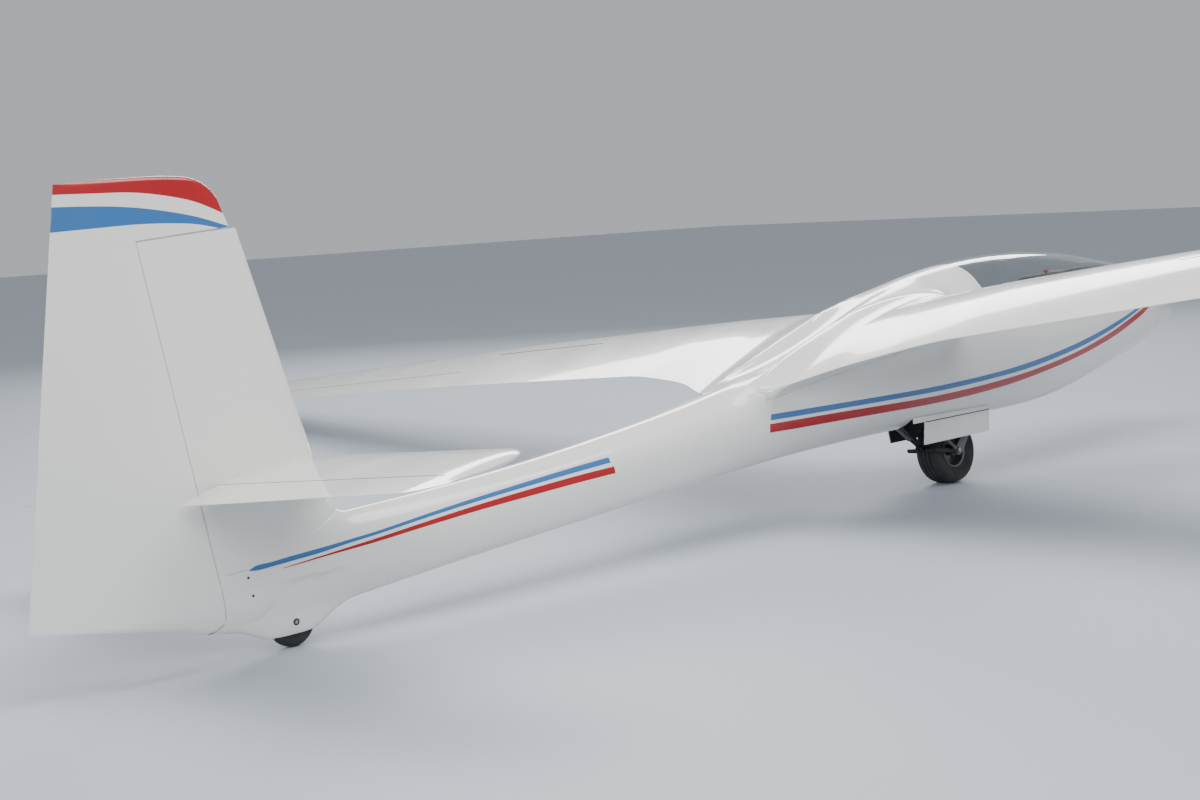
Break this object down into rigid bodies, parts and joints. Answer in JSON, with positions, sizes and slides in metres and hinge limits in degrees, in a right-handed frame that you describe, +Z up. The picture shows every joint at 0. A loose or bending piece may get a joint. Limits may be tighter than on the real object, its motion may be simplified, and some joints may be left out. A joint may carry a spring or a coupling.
{
  "type": "single-seat sailplane glider",
  "caption": "Single-seat composite sailplane parked on its main wheel, tail wheel and left wing tip, with canopy, control surfaces, airbrakes and wheels that move.",
  "frame": {"origin": "centre of the whole box on the floor it is parked on", "axes": "+X towards the nose, +Y towards the lowered left wing tip, +Z up"},
  "size_m": [6.868, 14.8982, 1.8799],
  "materials": {
    "gelcoat_white": "glossy white gelcoat over moulded laminate, with a blue and a red stripe",
    "clear_canopy": "clear blown acrylic",
    "cockpit_trim": "dark grained cockpit lining",
    "panel_black": "matt black",
    "seat_fabric": "woven seat cloth",
    "tyre_rubber": "worn black rubber",
    "bare_metal": "bare and silver-painted metal"
  },
  "bodies": {
    "airframe": {"fuselage_pod": "gelcoat_white", "tail_boom_and_fin": "gelcoat_white", "wing_left": "gelcoat_white", "stabiliser_left": "gelcoat_white", "gear_door_left": "gelcoat_white", "gear_strut_left": "bare_metal", "wing_right": "gelcoat_white", "stabiliser_right": "gelcoat_white", "gear_door_right": "gelcoat_white", "gear_strut_right": "bare_metal", "gear_fork": "bare_metal", "gear_damper": "bare_metal", "main_axle": "bare_metal", "tail_axle": "bare_metal", "seat_pan": "cockpit_trim", "seat_back": "cockpit_trim", "headrest": "seat_fabric", "instrument_panel": "panel_black", "panel_hood": "cockpit_trim", "control_stick": "panel_black", "rudder_pedals": "bare_metal", "tow_hook": "bare_metal"},
    "main_wheel": {"main_wheel_hub": "bare_metal", "main_tyre": "tyre_rubber"},
    "tail_wheel": {"tail_wheel_hub": "bare_metal", "tail_tyre": "tyre_rubber"},
    "canopy": {"canopy_frame": "gelcoat_white", "canopy_glass": "clear_canopy"},
    "rudder": {"rudder": "gelcoat_white"},
    "elevator": {"elevator_left": "gelcoat_white", "elevator_right": "gelcoat_white", "elevator_tube": "bare_metal"},
    "aileron_left": {"aileron_left": "gelcoat_white"},
    "aileron_right": {"aileron_right": "gelcoat_white"},
    "airbrake_left": {"airbrake_left": "bare_metal"},
    "airbrake_right": {"airbrake_right": "bare_metal"}
  },
  "joints": [
    {"name": "main_wheel_spin", "type": "hinge", "parent": "airframe", "child": "main_wheel", "pos_m": [1.23199, -0.09392, 0.16082], "axis": [0, 0.9927, -0.1205], "continuous": true},
    {"name": "tail_wheel_spin", "type": "hinge", "parent": "airframe", "child": "tail_wheel", "pos_m": [-2.51801, -0.10283, 0.08736], "axis": [0, 0.9927, -0.1205], "continuous": true},
    {"name": "canopy_open", "type": "hinge", "parent": "airframe", "child": "canopy", "pos_m": [1.72299, -0.31325, 0.86841], "axis": [1, 0, 0], "range_deg": [0, 80]},
    {"name": "rudder_turn", "type": "hinge", "parent": "airframe", "child": "rudder", "pos_m": [-2.85079, -0.02909, 0.6949], "axis": [-0.0893, 0.12, 0.9887], "range_deg": [-30, 30]},
    {"name": "elevator_turn", "type": "hinge", "parent": "airframe", "child": "elevator", "pos_m": [-2.75701, -0.04279, 0.582], "axis": [0, 0.9927, -0.1205], "range_deg": [-25, 25]},
    {"name": "aileron_left_turn", "type": "hinge", "parent": "airframe", "child": "aileron_left", "pos_m": [0.48723, 4.8351, 0.29024], "axis": [0.0554, 0.9932, -0.1023], "range_deg": [-20, 20]},
    {"name": "aileron_right_turn", "type": "hinge", "parent": "airframe", "child": "aileron_right", "pos_m": [0.48723, -4.84882, 1.46575], "axis": [-0.0554, 0.9888, -0.1383], "range_deg": [-20, 20]},
    {"name": "airbrake_left_lift", "type": "slide", "parent": "airframe", "child": "airbrake_left", "axis": [0, 0.1205, 0.9927], "range_m": [0, 0.08]},
    {"name": "airbrake_right_lift", "type": "slide", "parent": "airframe", "child": "airbrake_right", "axis": [0, 0.1205, 0.9927], "range_m": [0, 0.08]}
  ],
  "couplings": [
    {"joint": "aileron_right_turn", "follows": "aileron_left_turn", "ratio": -1},
    {"joint": "airbrake_right_lift", "follows": "airbrake_left_lift", "ratio": 1}
  ]
}
